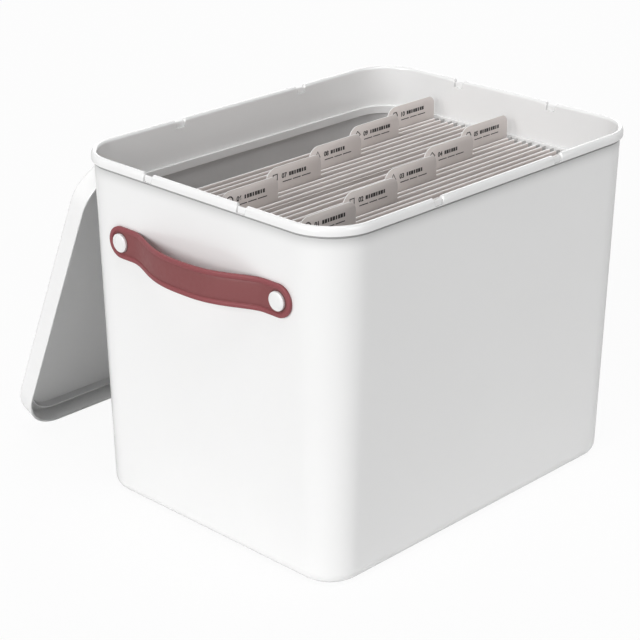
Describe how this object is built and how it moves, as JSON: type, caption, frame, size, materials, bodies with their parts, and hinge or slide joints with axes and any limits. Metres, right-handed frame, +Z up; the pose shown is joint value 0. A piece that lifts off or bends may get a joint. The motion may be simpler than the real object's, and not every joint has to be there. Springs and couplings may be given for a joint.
{
  "type": "portable file box",
  "caption": "Open plastic file box with strap handles, a drop-in frame of tabbed suspension files and a loose lid leaning on one side.",
  "frame": {"origin": "centre of the box's flat base, on the floor", "axes": "+Z up; +X along the files' width, with a strap handle on each X end; the lid leans on the +Y side"},
  "size_m": [0.4184, 0.4233, 0.3],
  "materials": {
    "box_plastic": "satin white polypropylene",
    "frame_plastic": "satin white polypropylene",
    "lid_plastic": "satin white polypropylene",
    "strap": "supple, with a pressed border",
    "rivet_plastic": "smooth white",
    "washer_steel": "zinc plated",
    "file_card": "matt card",
    "bar_steel": "dark plated",
    "divider_card": "matt card"
  },
  "bodies": {
    "box": {"box_shell": "box_plastic", "strap_left": "strap", "strap_right": "strap", "rivets": "rivet_plastic", "rivet_washers": "washer_steel"},
    "frame": {"hanging_frame": "frame_plastic"},
    "lid": {"lid": "lid_plastic"},
    "plain_card": {"plain_divider": "divider_card"},
    "file_1": {"hanging_file_1": "file_card", "file_bars_1": "bar_steel"},
    "divider_1": {"tab_divider_1": "divider_card"},
    "file_2": {"hanging_file_2": "file_card", "file_bars_2": "bar_steel"},
    "divider_2": {"tab_divider_2": "divider_card"},
    "file_3": {"hanging_file_3": "file_card", "file_bars_3": "bar_steel"},
    "divider_3": {"tab_divider_3": "divider_card"},
    "file_4": {"hanging_file_4": "file_card", "file_bars_4": "bar_steel"},
    "divider_4": {"tab_divider_4": "divider_card"},
    "file_5": {"hanging_file_5": "file_card", "file_bars_5": "bar_steel"},
    "divider_5": {"tab_divider_5": "divider_card"},
    "file_6": {"hanging_file_6": "file_card", "file_bars_6": "bar_steel"},
    "divider_6": {"tab_divider_6": "divider_card"},
    "file_7": {"hanging_file_7": "file_card", "file_bars_7": "bar_steel"},
    "divider_7": {"tab_divider_7": "divider_card"},
    "file_8": {"hanging_file_8": "file_card", "file_bars_8": "bar_steel"},
    "divider_8": {"tab_divider_8": "divider_card"},
    "file_9": {"hanging_file_9": "file_card", "file_bars_9": "bar_steel"},
    "divider_9": {"tab_divider_9": "divider_card"},
    "file_10": {"hanging_file_10": "file_card", "file_bars_10": "bar_steel"},
    "divider_10": {"tab_divider_10": "divider_card"}
  },
  "joints": [
    {"name": "frame_lift", "type": "slide", "parent": "box", "child": "frame", "axis": [0, 0, 1], "range_m": [0, 0.3]},
    {"name": "lid_clear", "type": "slide", "parent": "box", "child": "lid", "axis": [0, 1, 0], "range_m": [0, 0.25]},
    {"name": "plain_card_lift", "type": "slide", "parent": "frame", "child": "plain_card", "axis": [0, 0, 1], "range_m": [0, 0.28]},
    {"name": "file_1_lift", "type": "slide", "parent": "frame", "child": "file_1", "axis": [0, 0, 1], "range_m": [0, 0.28]},
    {"name": "file_2_lift", "type": "slide", "parent": "frame", "child": "file_2", "axis": [0, 0, 1], "range_m": [0, 0.28]},
    {"name": "file_3_lift", "type": "slide", "parent": "frame", "child": "file_3", "axis": [0, 0, 1], "range_m": [0, 0.28]},
    {"name": "file_4_lift", "type": "slide", "parent": "frame", "child": "file_4", "axis": [0, 0, 1], "range_m": [0, 0.28]},
    {"name": "file_5_lift", "type": "slide", "parent": "frame", "child": "file_5", "axis": [0, 0, 1], "range_m": [0, 0.28]},
    {"name": "file_6_lift", "type": "slide", "parent": "frame", "child": "file_6", "axis": [0, 0, 1], "range_m": [0, 0.28]},
    {"name": "file_7_lift", "type": "slide", "parent": "frame", "child": "file_7", "axis": [0, 0, 1], "range_m": [0, 0.28]},
    {"name": "file_8_lift", "type": "slide", "parent": "frame", "child": "file_8", "axis": [0, 0, 1], "range_m": [0, 0.28]},
    {"name": "file_9_lift", "type": "slide", "parent": "frame", "child": "file_9", "axis": [0, 0, 1], "range_m": [0, 0.28]},
    {"name": "file_10_lift", "type": "slide", "parent": "frame", "child": "file_10", "axis": [0, 0, 1], "range_m": [0, 0.28]},
    {"name": "divider_1_lift", "type": "slide", "parent": "file_1", "child": "divider_1", "axis": [0, 0, 1], "range_m": [0, 0.27]},
    {"name": "divider_2_lift", "type": "slide", "parent": "file_2", "child": "divider_2", "axis": [0, 0, 1], "range_m": [0, 0.27]},
    {"name": "divider_3_lift", "type": "slide", "parent": "file_3", "child": "divider_3", "axis": [0, 0, 1], "range_m": [0, 0.27]},
    {"name": "divider_4_lift", "type": "slide", "parent": "file_4", "child": "divider_4", "axis": [0, 0, 1], "range_m": [0, 0.27]},
    {"name": "divider_5_lift", "type": "slide", "parent": "file_5", "child": "divider_5", "axis": [0, 0, 1], "range_m": [0, 0.27]},
    {"name": "divider_6_lift", "type": "slide", "parent": "file_6", "child": "divider_6", "axis": [0, 0, 1], "range_m": [0, 0.27]},
    {"name": "divider_7_lift", "type": "slide", "parent": "file_7", "child": "divider_7", "axis": [0, 0, 1], "range_m": [0, 0.27]},
    {"name": "divider_8_lift", "type": "slide", "parent": "file_8", "child": "divider_8", "axis": [0, 0, 1], "range_m": [0, 0.27]},
    {"name": "divider_9_lift", "type": "slide", "parent": "file_9", "child": "divider_9", "axis": [0, 0, 1], "range_m": [0, 0.27]},
    {"name": "divider_10_lift", "type": "slide", "parent": "file_10", "child": "divider_10", "axis": [0, 0, 1], "range_m": [0, 0.27]}
  ]
}
